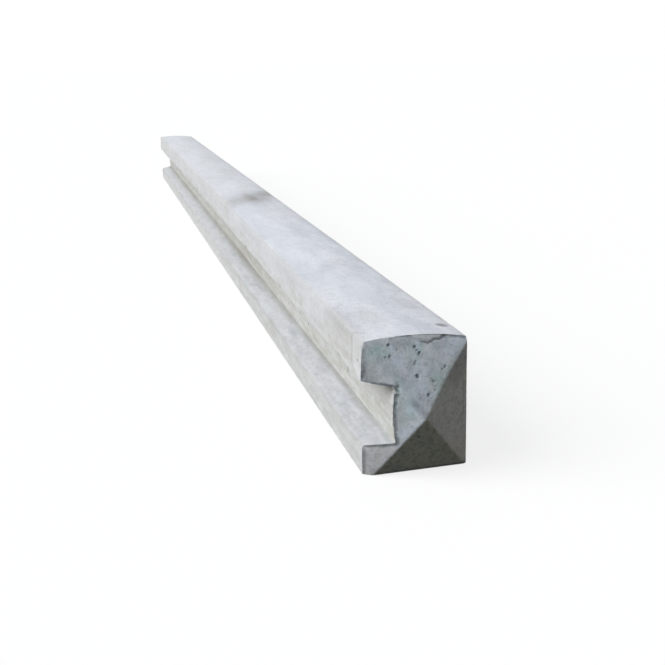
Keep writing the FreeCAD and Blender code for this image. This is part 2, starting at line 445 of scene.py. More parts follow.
class SkinMarks:
    """Marks of the long faces at the skin's places, that their material reads."""

    # Line of the stain across the trowelled face, as x and as y times the draw
    STAIN_LINE = ((-36.0, -129.0), (4.0, -122.0), (24.0, -101.0), (48.0, -86.0))
    STAIN_DRAW = 0.45
    STAIN_REACH = 25.0

    def __init__(self, section, around, along, place, normal):
        self.section = section
        self.around, self.along, self.place, self.normal = around, along, place, normal
        self.x, self.y, self.z = place.T
        self.patchy = lumps(place * [1.0, 0.25, 1.0], 16.0, 8)
        self.ragged = 0.28 * lattice_noise(place, 24.0, 9) + 0.16 * lattice_noise(place, 9.0, 10)
        self.in_slot = self.on("slot_roof slot_floor", 1.5)
        self.on_lip_arris = soft_spot(self.past("upper_lip"), 4.5)
        self.lip_top = smooth_step(self.z, 118.0, 126.0)
        self._spread_paste()

    def on(self, runs, blend):
        """How far each place belongs to these runs of the section."""
        return self.section.share_of(self.around, runs.split(), blend)

    def past(self, run):
        """How far round the section each place is past the corner where a run starts."""
        return self.around - self.section.corner_around[RUNS.index(run)]

    def _spread_paste(self):
        """Trowelled paste: the upper face, its smears and clouds, and the skim on the lip by the end."""
        near_end = smooth_fall(self.y, -1110.0, -990.0)
        wander = 9.0 * lattice_noise(self.place, 26.0, 18) + 5.0 * lattice_noise(self.place, 9.0, 19)
        below = self.past("upper_lip")
        smeared = 0.65 * self.on("upper_lip", 3.0) * smooth_fall(below + wander + 24.0 * near_end, 4.0, 34.0)
        self.trowelled = np.maximum(self.on("trowelled", 3.0), smeared)
        # Painted shade on the arris between the upper face and the lip, and on the lip below it, which face
        # the key lamp
        self.arris_shade = soft_spot(below + 0.5 * wander + 8.0 * near_end - 8.0, 11.0)
        self.clouds = np.zeros_like(self.x)
        for x, y, half_width, half_length, tone in TROWEL_CLOUDS:
            spread = ((self.x - x) / half_width) ** 2 + ((self.y - y) / half_length) ** 2
            self.clouds += tone * self.trowelled * np.exp(-np.clip(spread + 2.0 * self.ragged, 0, None))
        slanted = 22.0 * smooth_fall(self.z, 89.0, 101.0) + 0.6 * np.clip(self.x + 48.0, 0, None)
        self.past_skim = self.y + 1136.5 + slanted - 4.5 * self.on_lip_arris
        upper_edge = self.trowelled * smooth_fall(self.x, -42.0, -33.0)
        self.skimmed = np.maximum(self.on("upper_lip", 2.0), upper_edge)

    def slot(self):
        """The slot's own colour, and a little of it on both lips."""
        lips = np.maximum(0.12 * self.on("upper_lip", 2.5), 0.2 * self.on("lower_lip", 2.5))
        return np.maximum(self.in_slot, lips)

    def sill(self):
        """The sill's cooler colour, darkened as painted shade of the upper lip, which fades towards the foot.
        """
        sill = self.on("slot_sill", 4.0) + 0.1 * self.on("lower_lip", 3.0)
        return sill * (1.0 - 0.4 * smooth_step(self.y, -400.0, -100.0))

    def shade_and_dull(self):
        """Painted shade on faces that slant towards the key lamp and on the arris between the upper face and
        the lip, a darker band along the edge over the plain side, the duller lip and upper face by the end,
        and the trowel's dull clouds.
        """
        # Painted shade where a face or arris slants towards the key lamp
        slanting = 2.0 * np.clip(-self.normal[:, 0], 0, 1) * np.clip(self.normal[:, 1], 0, 1)
        arris = self.arris_shade * (0.22 + 0.38 * soft_spot(self.y + 1095.0, 45.0))
        arris += 0.4 * soft_spot(self.past("trowelled"), 6.0)
        face = 0.12 * self.on("upper_lip", 4.0) + 0.25 * self.trowelled * smooth_fall(self.y, -1150.0, -500.0)
        return slanting + arris + face + np.clip(-self.clouds, 0, 1)

    def pale_and_painted_light(self):
        """Pale paste on the lip, the upper face, by the bed and in the trowel's clouds; painted light on the
        slot's floor where the upper lip shades it; a painted highlight on the lip's lower arris at the slot's
        mouth; a paler strip on the sill by the mouth.
        """
        y, z = self.y, self.z
        lip = smooth_step(1.5 * lattice_noise(self.place, 6.0, 11) - self.past_skim, -1.0, 1.5)
        lip *= self.skimmed * (0.6 + 0.4 * self.lip_top)
        # Painted light on the slot's floor, stronger towards its top, where the upper lip's shade falls
        slot = 0.25 + 0.4 * smooth_step(y, -1130.0, -1050.0) - 0.5 * smooth_step(y, -800.0, -600.0)
        slot *= smooth_step(z, 36.0, 76.0) * (z < FLOOR_HIGH)
        slot += 0.4 * smooth_step(z, 62.0, 76.0) * smooth_fall(y, -1115.0, -1070.0)
        face = smooth_fall(self.x, -25.0, -5.0) * smooth_step(y, -1060.0, -980.0)
        face = 0.35 * self.trowelled * np.maximum(face, smooth_step(y, -450.0, -150.0))
        low_arris = self.past("lower_lip")
        # Painted highlight on the lip's lower arris at the slot's mouth
        arris = 0.75 * soft_spot(self.past("slot_roof"), 3.5) * smooth_fall(y, -400.0, -200.0)
        arris += 0.35 * soft_spot(low_arris + 6.0, 5.0) * smooth_step(y, -820.0, -720.0)
        by_bed = 0.4 * (low_arris > 12.0) * smooth_fall(z, 4.0, 13.0) * smooth_step(y, -480.0, -330.0)
        return lip + self.in_slot * slot + face + arris + by_bed + np.clip(self.clouds, 0, 1)

    def stain_and_shade(self):
        """Stains of the upper face, the lips and the far slot, painted shade on the arris between the upper
        face and the lip, dirt and painted shade along the slot's inner corner, and a hairline round the pale
        patch on the lip.
        """
        x, y, z = self.x, self.y, self.z
        drawn = np.stack([x, self.STAIN_DRAW * y], axis=1)
        smear = smooth_fall(line_distance(drawn, self.STAIN_LINE) / self.STAIN_REACH + self.ragged, 0.1, 1.3)
        smear *= 0.5 + 0.2 * smooth_step(x, 8.0, 30.0)
        core = soft_spot(x - 4.0, 21.0) * soft_spot(y + 266.0, 60.0) * (0.95 + 0.6 * self.ragged)
        veil = 0.17 * soft_spot(y + 400.0, 110.0) * smooth_step(x, -30.0, 0.0)
        face = self.trowelled * np.maximum.reduce([smear, core, veil])
        lips = 0.22 * self.on("upper_lip", 4.0) * lumps(self.place * [0.3, 1.0, 0.3], 9.0, 23)
        lips *= smooth_step(z, 93.0, 104.0) * smooth_fall(y, -1080.0, -900.0)
        lips += 0.06 * self.on("lower_lip", 3.0) * self.patchy
        # Painted shade on the arris between the upper face and the lip, which faces the key lamp
        lips += self.on_lip_arris * (0.1 + 0.12 * smooth_fall(y, -1080.0, -960.0))
        far_slot = 0.3 * self.in_slot * smooth_step(y, -720.0, -440.0) * (0.5 + self.patchy)
        far_slot *= 1.0 - 0.5 * smooth_step(y, -380.0, -200.0)
        far_slot *= 1.0 - 0.7 * smooth_fall(z, 41.0, 50.0) * smooth_fall(y, -340.0, -260.0)
        hairline = (0.3 + 0.25 * self.lip_top) * self.skimmed * soft_spot(self.past_skim, 1.5)
        return face + lips + far_slot + 0.82 * self._root_dirt_and_shade() + hairline

    def _root_dirt_and_shade(self):
        """Dirt and painted shade along the corner between the slot's floor and its sill."""
        y = self.y
        from_root = self.past("slot_sill") - 0.9
        further = smooth_step(y, -800.0, -690.0)
        on_floor = 1.5 + 0.7 * further + 1.8 * smooth_step(y, -400.0, -250.0)
        on_sill = 4.4 + 2.1 * further + 1.5 * soft_spot(y + 430.0, 100.0)
        root = soft_spot(from_root, np.where(from_root < 0, on_floor, on_sill)) * (0.8 + 0.2 * self.patchy)
        return root * (0.4 + 0.6 * smooth_step(y, -1160.0, -1090.0) + 0.35 * soft_spot(y + 340.0, 160.0))

    def dirt_and_shade(self, dark_marks):
        """Dirt and painted shade in holes and knocks, the scuff, dirt and painted shade on the broken edge of
        the slot's floor, and a darker band by the lower arris.
        """
        scuff = np.linalg.norm(self.place[:, :2] - SCUFF, axis=1) + 4.0 * self.ragged
        dark_marks = np.maximum(dark_marks, SCUFF_STRENGTH * self.trowelled * smooth_fall(scuff, *SCUFF_RIM))
        # Dirt and painted shade on the broken edge of the slot's floor by the end
        broken = smooth_step(3.5 + 3.0 * lattice_noise(self.place, 3.0, 24) - self.along, 0.0, 1.5)
        low_arris = self.past("lower_lip")
        arris = soft_spot(low_arris, 5.0) * smooth_step(low_arris, -1.0, 2.0) * (0.5 + self.patchy)
        arris *= 0.17 + 0.12 * smooth_step(self.y, -920.0, -860.0) * smooth_fall(self.y, -380.0, -310.0)
        return dark_marks + 0.5 * self.on("slot_floor", 1.5) * broken + arris

    def marks(self, dark_marks):
        """Each mark, from 0 to 1."""
        marks = {
            "trowelled": self.trowelled * (1.0 - 0.7 * smooth_step(self.y, -450.0, -50.0)),
            "slot": self.slot(),
            "sill": self.sill(),
            "shade_and_dull": self.shade_and_dull(),
            "pale_and_painted_light": self.pale_and_painted_light(),
            "stain_and_shade": self.stain_and_shade(),
            "dirt_and_shade": self.dirt_and_shade(dark_marks),
        }
        return {mark: np.clip(value, 0, 1) for mark, value in marks.items()}


def end_dusk(inner, wander):
    """How dark the chips of the weathered top and its dusky strips are."""
    dusk = drawn_lines(inner, DUSKY_STRIPS, 2.0 * wander)
    for x, z, radius in DARKENED_CHIPS:
        offset = np.linalg.norm(inner - [x, z], axis=1) + 2.0 * wander
        dusk = np.maximum(dusk, 0.8 * smooth_fall(offset, 0.5 * radius, 1.5 * radius))
    return dusk


def end_tones(inner, place, wander):
    """Painted shade on facets that face away from the light, pale tones with painted ridge highlights, stains
    and slag of the weathered top, at places of the section.
    """
    z = inner[:, 1]
    facet = {name: np.exp(depth / FACET_BLEND) for name, depth in facet_depths(inner).items()}
    plain = facet["plain"] / sum(facet.values())
    # Painted shade: the moulded and plain facets face away from the key lamp, so they are painted darker
    damp = facet["moulded"] / sum(facet.values()) + 0.36 * plain
    ridge_gaps = [line_distance(inner, line) for line in ridge_lines()]
    # Painted highlight along the ridges of the lit facets below the tip; the pale patches after it are the
    # concrete's own
    pale = 0.6 * (z < TIP_Z) * (1.0 - damp) * smooth_fall(np.min(ridge_gaps, axis=0) + wander, 0.8, 4.0)
    for *centre, radius in PALE_PATCHES:
        spread = np.linalg.norm(inner - centre, axis=1) / radius + 1.5 * wander
        pale = np.maximum(pale, 0.8 * np.exp(-np.clip(spread, 0, None) ** 2))

    # More painted shade beside the ridge between the trowelled and plain facets
    by_ridge = soft_spot(ridge_gaps[TROWELLED_TO_PLAIN], 11.0)
    by_ridge *= smooth_step(z, 66.0, 78.0) * smooth_fall(z, 104.0, 118.0)
    damp = np.maximum(damp, 0.4 * by_ridge * (0.7 + 0.6 * lattice_noise(place, 8.0, 20)))
    damp = np.maximum(damp, 0.08 * (z < MOUTH_LOW))
    lower_lip = (1.0 - damp) * smooth_fall(z, MOUTH_LOW, FLOOR_LOW)
    slag = sum(np.exp(-((inner - centre) ** 2).sum(axis=1) / radius**2) for *centre, radius in SLAG_PATCHES)
    return {
        "damp": damp,
        "pale_and_painted_light": pale,
        # The warm tint on the plain facet, which faces away from the key lamp, is painted shade
        "stain_and_shade": 0.5 * lower_lip + 0.3 * plain,
        "slag": np.clip(0.8 * slag + 0.45 * lattice_noise(place, 5.0, 15), 0, 1),
    }


def new_object(name, data):
    """An object in the scene."""
    thing = bpy.data.objects.new(name, data)
    bpy.context.scene.collection.objects.link(thing)
    return thing


class PostMesh:
    """The casting's whole surface: its long skin, weathered top and foot, joined at their outlines."""

    # The skin is finest by the tip end, where the eye is closest, and each step along it is a little longer
    FIRST_STEP, STEP_GROWTH, LONGEST_STEP = 0.6, 0.014, 10.0
    FULL_UNTIL, HALF_UNTIL = 26.0, 560.0

    # Spacing of the points of both ends, and how far inside the outline of the top its first rows are
    END_SPACING = 1.25
    FOOT_SPACING = 5.0
    RIDGE_SPACING = 0.8
    CRACK_SPACING = 0.6
    CRACK_ROWS = (-1.3, -0.65, 0.0, 0.65, 1.3)
    EDGE_ROWS = (0.55, 1.2, 2.0)
    PAST_EDGE_ROWS = 2.4

    # Air holes of the long faces: run, how many, smallest and largest radius
    SIDE_HOLES = (
        ("plain_side", 70, 1.2, 4.0),
        ("bed", 45, 1.2, 4.0),
        ("upper_lip", 12, 0.7, 1.6),
        ("slot_floor", 8, 0.7, 1.5),
        ("slot_sill", 6, 0.6, 1.3),
        ("lower_lip", 10, 0.7, 1.8),
        ("trowelled", 10, 0.6, 1.3),
    )
    SIDE_HOLE_DARKNESS, FLOOR_HOLE_DARKNESS = 0.75, 0.85
    HOLE_DEPTH = 0.7  # of a full bowl

    # Depth of the trowel's waves and ripples, and of the waves that the mould leaves
    TROWEL_WAVE, TROWEL_RIPPLE, MOULD_WAVE = 0.55, 0.14, 0.14

    MARKS = ("trowelled", "slot", "sill", "shade_and_dull", "pale_and_painted_light", "stain_and_shade", "dirt_and_shade", "slag", "damp")

    def __init__(self):
        self.rng = np.random.default_rng(41)
        self.section = Section()
        self.length = FOOT_Y - end_surface(self.section.point).mean()
        self._choose_holes()
        self._lay_skin()
        self._shape_skin()
        self._lay_end()
        self._lay_foot()

    def _choose_holes(self):
        """Scatters the air holes of the long faces: place round and along them, radius and darkness."""
        holes = []
        for run, count, smallest, largest in self.SIDE_HOLES:
            start, end = self.section.run_span(run)
            margin = largest + 5.0
            around = self.rng.uniform(start + margin, end - margin, count)
            along = self.rng.uniform(12.0, self.length - 30.0, count)
            radius = smallest + (largest - smallest) * self.rng.random(count) ** 2.5
            holes.append(np.stack([around, along, radius, np.full(count, self.SIDE_HOLE_DARKNESS)], axis=1))
        floor_start, floor_end = self.section.run_span("slot_floor")
        for y, z, radius in FLOOR_HOLES:
            around = floor_start + (floor_end - floor_start) * (FLOOR_HIGH - z) / (FLOOR_HIGH - FLOOR_LOW)
            start = end_surface(self.section.at(np.array([around]), self.section.point))[0]
            along = (y - start) * self.length / (FOOT_Y - start)
            holes.append(np.array([(around, along, radius, self.FLOOR_HOLE_DARKNESS)]))
        self.side_holes = np.concatenate(holes)

    def _stations(self):
        """Distances from the end's outline at which the skin has a row of points."""
        places = [0.0]
        while places[-1] < self.length:
            step = min(self.FIRST_STEP + self.STEP_GROWTH * places[-1], self.LONGEST_STEP)
            places.append(places[-1] + step)
        return np.array(places) * self.length / places[-1]

    def _lay_skin(self):
        """Points of the skin, unrolled: rows that thin out away from the tip, and rings round each hole."""
        section = self.section
        every = np.arange(section.size)
        rows = []
        for along in self._stations():
            stride = 1 if along < self.FULL_UNTIL else 2 if along < self.HALF_UNTIL else 4
            kept = (every % stride == 0) | (section.rounded & (every % min(stride, 2) == 0))
            around = section.around[kept]
            rows.append(np.stack([around, np.full(len(around), along)], axis=1))
        lattice = np.concatenate(rows)
        keep = away_from(lattice, self.side_holes) | (lattice[:, 0] == 0.0)
        rings = [hole_rings((around, along), radius) for around, along, radius, _ in self.side_holes]
        self.skin = np.concatenate([lattice[keep], *rings])
        seam = np.flatnonzero(self.skin[:, 0] == 0.0)
        unrolled = np.concatenate([self.skin, self.skin[seam] + [section.perimeter, 0.0]])
        weld = np.concatenate([np.arange(len(self.skin)), seam])
        # Unrolled, the faces look into the concrete, so each is turned round
        self.skin_faces = weld[triangles(unrolled)][:, ::-1]
        self.first_ring = self._ring(0.0)
        self.last_ring = self._ring(self.length)

    def _ring(self, along):
        """The skin's points at one station, in order round the section."""
        found = np.flatnonzero(np.abs(self.skin[:, 1] - along) < 1e-6)
        return found[np.argsort(self.skin[found, 0])]

    def _unmarked(self, count):
        """No mark of any kind on this many points."""
        return {mark: np.zeros(count) for mark in self.MARKS}

    def end_wear(self, around):
        """How much the outline of the top has lost: it is crumbly round the slot and on the lip over it."""
        at_slot = self.section.share_of(around, SLOT_RUNS, 1.5)
        at_lip = self.section.share_of(around, ["upper_lip"], 1.5)
        place = np.stack([around, np.zeros_like(around)], axis=1)
        coarse = lattice_noise(place, 4.5, 5)
        fine = lattice_noise(place, 1.9, 6)
        crumbs = np.clip(0.3 + 0.7 * coarse + 0.45 * fine, 0.0, None)
        return 0.12 + (0.7 * at_slot + 0.3 * at_lip) * crumbs + 0.12 * np.clip(fine, 0, None)

    def chipped(self, points):
        """Pushes points near each chip of the end's outline back into the concrete."""
        points = points.copy()
        inwards = np.array([0.35, 0.9, -0.25])
        for x, z, radius in END_CHIPS:
            middle = np.array([x, end_surface(np.array([(x, z)]))[0], z])
            distance = np.linalg.norm(points - middle, axis=1)
            near = distance < 2.0 * radius
            uneven = 1.0 + 0.4 * lattice_noise(points[near], radius, 22)
            push = 0.3 * radius * uneven * smooth_fall(distance[near], 0.3 * radius, 1.5 * radius)
            points[near] += push[:, None] * inwards
        return points

    def _waves(self, around, along, place):
        """How far the trowel's waves and ripples, and the mould's waves, lie into the concrete."""
        trowelled = self.section.share_of(around, ["trowelled"], 6.0)
        waves = lumps(place * [1.0, 0.55, 1.0], 38.0, 1)
        ripples = lumps(place * [0.6, 1.0, 0.6], 14.0, 2)
        ripples *= smooth_fall(along, 150.0, 400.0)
        by_trowel = self.TROWEL_WAVE * waves + self.TROWEL_RIPPLE * ripples
        return trowelled * by_trowel + (1.0 - trowelled) * self.MOULD_WAVE * waves

    def _edge_loss(self, around, along, place):
        """How far the long edges have lost their nicks, crumbs and knocks, and the knocks by themselves."""
        section = self.section
        y = place[:, 1]
        gap = np.abs(around[:, None] - section.corner_around[None, :])
        gap = np.minimum(gap, section.perimeter - gap)
        nearest = gap.argmin(axis=1)
        edge = soft_spot(gap.min(axis=1), EDGE_WEAR_REACH)
        along_edge = np.stack([y, nearest * 50.0], axis=1)
        nicks = np.clip(1.7 * lattice_noise(along_edge, 17.0, 3) - 0.55, 0, None)
        crumbs = np.clip(1.3 * lattice_noise(along_edge, 5.0, 4) - 0.35, 0, None)
        crumbs *= smooth_fall(along, 60.0, 200.0)
        knocks = np.zeros_like(y)
        mouth_high = nearest == RUNS.index("slot_roof")
        for middle, half_length, depth in MOUTH_KNOCKS:
            shape = np.clip(1.0 - ((y - middle) / half_length) ** 2, 0, None)
            knocks += mouth_high * depth * shape * (0.8 + 0.4 * lattice_noise(place, 3.0, 7))
        return edge * (EDGE_WEAR[nearest] * (0.4 + 1.6 * nicks + 0.9 * crumbs) + knocks), edge * knocks

    def _shape_skin(self):
        """Gives the skin its waves, worn edges and holes, all of them into the concrete."""
        section = self.section
        around, along = self.skin.T
        outline = section.at(around, section.point)
        normal = section.at(around, section.normal)
        normal /= np.linalg.norm(normal, axis=1)[:, None]
        start = end_surface(outline)
        y = start + along * (FOOT_Y - start) / self.length
        place = np.stack([outline[:, 0], y, outline[:, 1]], axis=1)

        edge_loss, knocks = self._edge_loss(around, along, place)
        hole_share, hole_depth = bowls(self.skin, self.side_holes)
        worn = self.end_wear(around) * np.exp(-along / 1.5)
        inward = self._waves(around, along, place) + edge_loss + self.HOLE_DEPTH * hole_depth + 0.5 * worn
        moved = outline - normal * inward[:, None]
        y = y + worn * np.exp(-along / 2.5)
        self.skin_points = np.stack([moved[:, 0], y, moved[:, 1]], axis=1)
        self.skin_points[self.last_ring, 1] = FOOT_Y
        self.skin_points = self.chipped(self.skin_points)

        # Holes and knocks are darker: dirt and painted shade in the hollows
        dark_marks = hole_share + 0.6 * np.clip(knocks, 0, 1)
        marks = SkinMarks(section, around, along, place, normal).marks(dark_marks)
        self.skin_marks = {**self._unmarked(len(around)), **marks}

    def _grid(self, spacing, margin):
        """Staggered, slightly scattered points over the section."""
        low, high = self.section.point.min(axis=0), self.section.point.max(axis=0)
        columns = [np.arange(a, b, spacing) for a, b in zip(low, high)]
        grid = np.stack(np.meshgrid(*columns), axis=-1).reshape(-1, 2)
        grid[:, 0] += (np.round((grid[:, 1] - low[1]) / spacing) % 2) * spacing / 2
        grid += self.rng.uniform(-0.2, 0.2, grid.shape) * spacing
        return self.section.clear(grid, margin)

    def _end_holes(self):
        """The air holes that show on the weathered top, and a scatter of tiny ones between them."""
        tiny = self._grid(9.0, 3.5)
        tiny = tiny + self.rng.uniform(-3.0, 3.0, tiny.shape)
        radii = 0.4 + 0.6 * self.rng.random(len(tiny)) ** 2
        darkness = 0.05 + 0.2 * self.rng.random(len(tiny))
        return np.concatenate([np.array(END_HOLES), np.column_stack([tiny, radii, darkness])])

    def _end_places(self, holes):
        """Points of the weathered top: rows by its outline, its ridges, its crack, its holes and a grid."""
        section = self.section
        edges = [section.point - offset * section.normal for offset in self.EDGE_ROWS]
        edges = [section.clear(row, 0.93 * offset) for row, offset in zip(edges, self.EDGE_ROWS)]
        edges = np.concatenate(edges)
        edges = edges[away_from(edges, holes)]
        ridges = np.concatenate([along_line(line, self.RIDGE_SPACING) for line in ridge_lines()])
        ridges = section.clear(ridges, self.PAST_EDGE_ROWS)
        crack = along_line(FLAKE_CRACK, self.CRACK_SPACING)
        crack = np.concatenate([crack + [0.0, shift] for shift in self.CRACK_ROWS])
        crack = section.clear(crack + self.rng.uniform(-0.06, 0.06, crack.shape), self.PAST_EDGE_ROWS)
        rings = np.concatenate([hole_rings((x, z), radius) for x, z, radius, _ in holes])
        rings = section.clear(rings, 0.4)
        grid = self._grid(self.END_SPACING, 2.6)
        ridge_gap = np.min([line_distance(grid, line) for line in ridge_lines()], axis=0)
        grid = grid[(ridge_gap > 0.6) & away_from(grid, holes) & (line_distance(grid, FLAKE_CRACK) > 1.7)]
        return np.concatenate([edges, ridges, crack, rings, grid])

    def _lay_end(self):
        """The weathered top, with its air holes, its crack and its worn outline."""
        section = self.section
        holes = self._end_holes()
        inner = self._end_places(holes)
        x, z = inner.T
        y = end_surface(inner)
        place = np.stack([x, y, z], axis=1)
        wander = 0.35 * lattice_noise(place, 2.5, 14)
        hole_share, hole_depth = bowls(inner, holes)
        crack = smooth_fall(line_distance(inner, FLAKE_CRACK) + wander, 0.4, 1.7)
        crack *= 0.35 + 0.65 * smooth_step(x, 2.0, 14.0)
        crack_z = np.interp(x, FLAKE_CRACK[:, 0], FLAKE_CRACK[:, 1], left=np.inf, right=np.inf)
        flake = smooth_step(z - crack_z, 0.0, 0.8)
        crumbled = drawn_lines(inner, CRUMBLED_LINES, 2.0 * wander)

        gap, nearest = section.gap(inner)
        worn = self.end_wear(section.around[nearest])
        waves = 0.35 * lumps(place, 16.0, 12) + 0.12 * lumps(place, 4.0, 13)
        y = y + waves + self.HOLE_DEPTH * hole_depth + CRACK_DEPTH * crack + FLAKE_DROP * flake
        y = y + worn * np.exp(-gap / 1.5) + 0.4 * crumbled
        self.end_points = self.chipped(np.stack([x, y, z], axis=1))
        numbering = np.concatenate([self.first_ring, len(self.skin) + np.arange(len(inner))])
        flat = np.concatenate([section.point, inner])
        self.end_faces = numbering[triangles(flat, range(section.size))]

        # Dirt and painted shade in holes, the crack, chips and crumbled edges
        dark = np.maximum.reduce([hole_share, 0.85 * crack, crumbled, end_dusk(inner, wander)])
        self.end_marks = {**self._unmarked(len(inner)), **end_tones(inner, place, wander)}
        self.end_marks["dirt_and_shade"] = np.clip(dark, 0, 1)
        self.end_marks["stain_and_shade"] = self.end_marks["stain_and_shade"] + 0.2 * flake * (1.0 - crack)

    def _lay_foot(self):
        """The flat foot, a little rough where the casting met the mould's end."""
        inner = self._grid(self.FOOT_SPACING, 2.5)
        rough = 0.3 * lumps(inner, 12.0, 16) + 0.15 * lumps(inner, 5.0, 17)
        first = len(self.skin) + len(self.end_points)
        numbering = np.concatenate([self.last_ring, first + np.arange(len(inner))])
        outline = self.section.at(self.skin[self.last_ring, 0], self.section.point)
        flat = np.concatenate([outline, inner])
        self.foot_faces = numbering[triangles(flat, range(len(self.last_ring)))][:, ::-1]
        self.foot_points = np.stack([inner[:, 0], FOOT_Y - rough, inner[:, 1]], axis=1)
        self.foot_marks = self._unmarked(len(inner))

    def build(self, name, skin_material, end_material):
        """The finished object, with its marks as attributes that its materials read."""
        points = np.concatenate([self.skin_points, self.end_points, self.foot_points])
        points = np.clip(points, box_low, box_high)
        faces = np.concatenate([self.skin_faces, self.end_faces, self.foot_faces])
        mesh = bpy.data.meshes.new(name)
        mesh.from_pydata((points * MM).tolist(), [], faces.tolist())
        for mark in self.MARKS:
            values = np.concatenate([self.skin_marks[mark], self.end_marks[mark], self.foot_marks[mark]])
            attribute = mesh.attributes.new(mark, "FLOAT", "POINT")
            attribute.data.foreach_set("value", values.astype(np.float32))
        mesh.materials.append(skin_material)
        mesh.materials.append(end_material)
        slots = np.zeros(len(faces), np.int32)
        slots[len(self.skin_faces):len(self.skin_faces) + len(self.end_faces)] = 1
        mesh.polygons.foreach_set("material_index", slots)
        mesh.polygons.foreach_set("use_smooth", np.ones(len(faces), bool))
        mesh.update()
        mesh.validate()
        return new_object(name, mesh)


# Sockets of a colour mix
MIX_SHARE, MIX_A, MIX_B, MIXED = 0, 6, 7, 2


def colour(hex_code):
    """An sRGB hex colour as linear red, green, blue and alpha."""
    parts = [int(hex_code[i:i + 2], 16) / 255 for i in (1, 3, 5)]
    return tuple(p / 12.92 if p <= 0.04045 else ((p + 0.055) / 1.055) ** 2.4 for p in parts) + (1.0,)


def add(tree, kind, links=None, **settings):
    """A node with its settings, and its sockets linked or set."""
    node = tree.nodes.new(kind)
    for name, value in settings.items():
        setattr(node, name, value)
    for socket, value in (links or {}).items():
        if isinstance(value, bpy.types.NodeSocket):
            tree.links.new(value, node.inputs[socket])
        else:
            node.inputs[socket].default_value = value
    return node


def new_material(name):
    """An empty node material and its tree."""
    material = bpy.data.materials.new(name)
    material.use_nodes = True
    material.node_tree.nodes.clear()
    return material, material.node_tree


# Concrete is a dull dielectric with a rough face
CONCRETE_IOR = 1.5
CONCRETE_ROUGHNESS = 0.9
GRAIN_HEIGHT = 0.6
PATTERN_ROUGHNESS = 0.6  # how strong a pattern's finer lumps are

# How a pattern's lumps are drawn out: evenly, along the post, far along it or down it
EVEN, ALONG, DRAWN, DOWN = (1.0, 1.0, 1.0), (1.0, 0.35, 1.0), (1.0, 0.18, 1.0), (0.25, 1.0, 0.25)


def concrete(name, base, patterns, layers, grain):
    """A concrete face: its base colour, and layers of colour laid on it in turn.

    A pattern is noise: how it is drawn out, its lump size in millimetres, its detail, and where it starts
    and ends. A layer is held by marks of the post and by patterns, and has a strength and a colour. The
    pattern called grains is the bump: the sand's own grains are too fine to show, so it is drawn coarser.
    """
    material, tree = new_material(name)
    place = add(tree, "ShaderNodeTexCoord").outputs["Object"]
    shares = {}
    for mark in PostMesh.MARKS:
        shares[mark] = add(tree, "ShaderNodeAttribute", attribute_name=mark).outputs["Fac"]
    for pattern, (stretch, size, detail, start, end) in patterns.items():
        vector = add(tree, "ShaderNodeMapping", {"Vector": place, "Scale": stretch}).outputs["Vector"]
        noise = add(tree, "ShaderNodeTexNoise", {
            "Vector": vector,
            "Scale": 1.0 / (size * MM),
            "Detail": detail,
            "Roughness": PATTERN_ROUGHNESS,
        })
        sockets = {"Value": noise.outputs["Fac"], "From Min": start, "From Max": end}
        shares[pattern] = add(tree, "ShaderNodeMapRange", sockets).outputs[0]
    tone = colour(base)
    for held_by, strength, layer in layers:
        weight = strength
        for holder in held_by.split():
            product = add(tree, "ShaderNodeMath", {0: weight, 1: shares[holder]}, operation="MULTIPLY")
            weight = product.outputs[0]
        sockets = {MIX_SHARE: weight, MIX_A: tone, MIX_B: colour(layer)}
        tone = add(tree, "ShaderNodeMix", sockets, data_type="RGBA").outputs[MIXED]
    sockets = {"Height": shares["grains"], "Strength": grain, "Distance": GRAIN_HEIGHT * MM}
    bump = add(tree, "ShaderNodeBump", sockets)
    shader = add(tree, "ShaderNodeBsdfPrincipled", {
        "Base Color": tone,
        "Roughness": CONCRETE_ROUGHNESS,
        "IOR": CONCRETE_IOR,
        "Normal": bump.outputs["Normal"],
    })
    add(tree, "ShaderNodeOutputMaterial", {"Surface": shader.outputs["BSDF"]})
    return material


